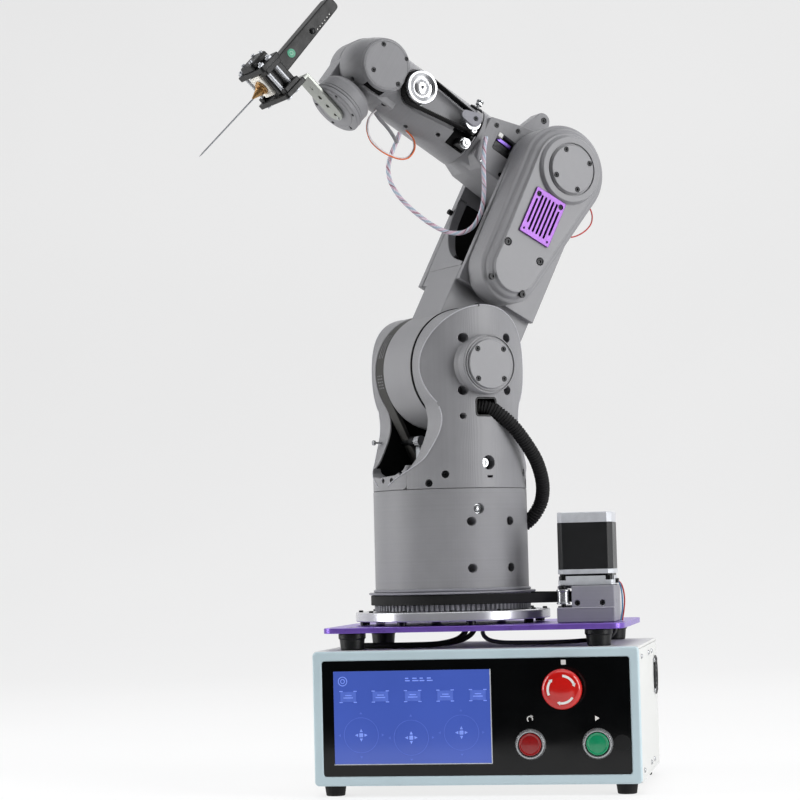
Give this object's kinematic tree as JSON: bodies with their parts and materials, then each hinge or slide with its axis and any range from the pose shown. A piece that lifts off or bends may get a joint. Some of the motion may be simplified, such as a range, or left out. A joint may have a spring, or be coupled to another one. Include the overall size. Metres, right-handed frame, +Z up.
{
  "type": "desktop robot arm",
  "caption": "Six-axis desktop robot arm with belt-driven joints on a flat plate, standing on its own control box with touch screen and push buttons.",
  "frame": {"origin": "middle of the whole footprint, on the surface that the feet stand on", "axes": "+Z up, +X to the right along the control box front, +Y from the box front to its back"},
  "size_m": [0.4247, 0.3086, 0.8261],
  "materials": {
    "grey_print": "satin layered print",
    "grey_trim": "satin print",
    "black_plastic": "satin",
    "black_rubber": "matte",
    "black_gloss": "gloss",
    "white_sheet": "satin powder coat",
    "bezel_blue": "satin",
    "aluminium": "turned",
    "purple_anodised": "anodised",
    "purple_grille": "anodised",
    "red_gloss": "gloss",
    "dark_red": "gloss",
    "green_gloss": "gloss",
    "screen": "lit glass",
    "circuit_green": "solder mask",
    "steel": "brushed",
    "pale_grey": "bead blasted",
    "white_ceramic": "matte",
    "brass": "turned",
    "wire_braid": "braided"
  },
  "bodies": {
    "base": {"foot_front_left": "black_rubber", "foot_front_right": "black_rubber", "foot_rear_left": "black_rubber", "foot_rear_right": "black_rubber", "box_floor": "white_sheet", "box_top": "white_sheet", "box_left_wall": "white_sheet", "box_right_wall": "white_sheet", "box_rear_wall": "white_sheet", "front_bezel": "bezel_blue", "front_panel": "black_gloss", "touch_screen": "screen", "estop_base": "black_plastic", "reset_switch": "black_plastic", "start_switch": "black_plastic", "power_supply": "aluminium", "controller_board": "circuit_green", "fan_frame": "black_plastic", "base_plate": "purple_anodised", "post_front_left": "black_rubber", "post_front_right": "black_rubber", "post_rear_left": "black_rubber", "post_rear_right": "black_rubber", "bearing_ring": "aluminium", "motor_bracket": "grey_trim", "waist_motor": "black_plastic", "waist_belt": "black_rubber", "base_cable": "black_rubber"},
    "estop_plunger": {"estop_stem": "steel"},
    "estop_knob": {"estop_head": "red_gloss"},
    "reset_cap": {"reset_button": "dark_red"},
    "start_cap": {"start_button": "green_gloss"},
    "fan": {"fan_rotor": "black_plastic"},
    "waist_drive": {"waist_drive_pulley": "aluminium"},
    "idler": {"belt_idler": "aluminium"},
    "turret": {"waist_pulley": "grey_trim", "turret_housing": "grey_print", "shoulder_cheek_near": "grey_print", "shoulder_cheek_far": "grey_print", "shoulder_motor": "black_plastic", "cable_hose": "black_rubber"},
    "shoulder_pinion": {"shoulder_motor_pulley": "aluminium"},
    "upper_arm": {"upper_arm_core": "grey_print", "upper_arm_far_plate": "grey_print", "upper_arm_near_plate": "grey_print", "elbow_cover": "grey_print", "vent_grille": "purple_grille", "elbow_motor": "black_plastic"},
    "elbow": {"elbow_block": "grey_print", "wire_harness": "wire_braid"},
    "forearm": {"forearm_shell": "grey_print", "wrist_belt": "black_rubber"},
    "wrist_pulley": {"wrist_belt_pulley": "aluminium"},
    "wrist": {"wrist_body": "grey_print"},
    "tool": {"tool_flange": "grey_trim", "tool_plate": "pale_grey", "tool_clamp": "black_plastic", "tool_handle": "black_plastic", "heater_block": "white_ceramic", "nozzle_and_needle": "brass"}
  },
  "joints": [
    {"name": "waist", "type": "hinge", "parent": "base", "child": "turret", "pos_m": [0.01182, 0.01954, 0.25], "axis": [0, 0, 1], "range_deg": [-160, 160]},
    {"name": "shoulder", "type": "hinge", "parent": "turret", "child": "upper_arm", "pos_m": [0.01182, 0.01954, 0.436], "axis": [0.6225, -0.7826, 0], "range_deg": [-50, 75]},
    {"name": "elbow_pitch", "type": "hinge", "parent": "upper_arm", "child": "elbow", "pos_m": [0.09553, 0.08613, 0.64412], "axis": [-0.6225, 0.7826, 0], "range_deg": [-45, 60]},
    {"name": "forearm_roll", "type": "hinge", "parent": "elbow", "child": "forearm", "pos_m": [0.03398, 0.03717, 0.6899], "axis": [-0.6764, -0.538, 0.503], "range_deg": [-150, 150], "deforming": ["wire_harness"]},
    {"name": "wrist_pitch", "type": "hinge", "parent": "forearm", "child": "wrist", "pos_m": [-0.0524, -0.03154, 0.75413], "axis": [0.6225, -0.7826, 0], "range_deg": [-95, 12]},
    {"name": "tool_roll", "type": "hinge", "parent": "wrist", "child": "tool", "pos_m": [-0.08284, -0.05575, 0.71385], "axis": [-0.5436, -0.4324, -0.7193], "range_deg": [-120, 120]},
    {"name": "waist_drive_spin", "type": "hinge", "parent": "base", "child": "waist_drive", "pos_m": [0.15982, -0.02046, 0.1955], "axis": [0, 0, 1], "range_deg": [-1000, 1000]},
    {"name": "idler_spin", "type": "hinge", "parent": "base", "child": "idler", "pos_m": [0.13682, -0.05036, 0.1955], "axis": [0, 0, 1], "range_deg": [-1985, 1985]},
    {"name": "shoulder_motor_spin", "type": "hinge", "parent": "turret", "child": "shoulder_pinion", "pos_m": [-0.00841, 0.04498, 0.3387], "axis": [0.6225, -0.7826, 0], "range_deg": [-300, 300]},
    {"name": "wrist_pulley_spin", "type": "hinge", "parent": "forearm", "child": "wrist_pulley", "pos_m": [-0.00189, -0.03609, 0.72931], "axis": [0.6225, -0.7826, 0], "range_deg": [-500, 80]},
    {"name": "estop_press", "type": "slide", "parent": "base", "child": "estop_plunger", "axis": [0, 1, 0], "range_m": [0, 0.005], "stiffness_N_per_m": 600},
    {"name": "estop_twist", "type": "hinge", "parent": "estop_plunger", "child": "estop_knob", "pos_m": [0.14082, -0.12546, 0.106], "axis": [0, -1, 0], "range_deg": [0, 40], "stiffness_Nm_per_rad": 0.05},
    {"name": "reset_press", "type": "slide", "parent": "base", "child": "reset_cap", "axis": [0, 1, 0], "range_m": [0, 0.003], "stiffness_N_per_m": 500},
    {"name": "start_press", "type": "slide", "parent": "base", "child": "start_cap", "axis": [0, 1, 0], "range_m": [0, 0.003], "stiffness_N_per_m": 500},
    {"name": "fan_spin", "type": "hinge", "parent": "base", "child": "fan", "pos_m": [0.20827, 0.10354, 0.10834], "axis": [1, 0, 0], "continuous": true}
  ],
  "couplings": [
    {"joint": "waist_drive_spin", "follows": "waist", "ratio": 6.148},
    {"joint": "idler_spin", "follows": "waist", "ratio": -12.286},
    {"joint": "shoulder_motor_spin", "follows": "shoulder", "ratio": 3.8},
    {"joint": "wrist_pulley_spin", "follows": "wrist_pitch", "ratio": 5}
  ]
}
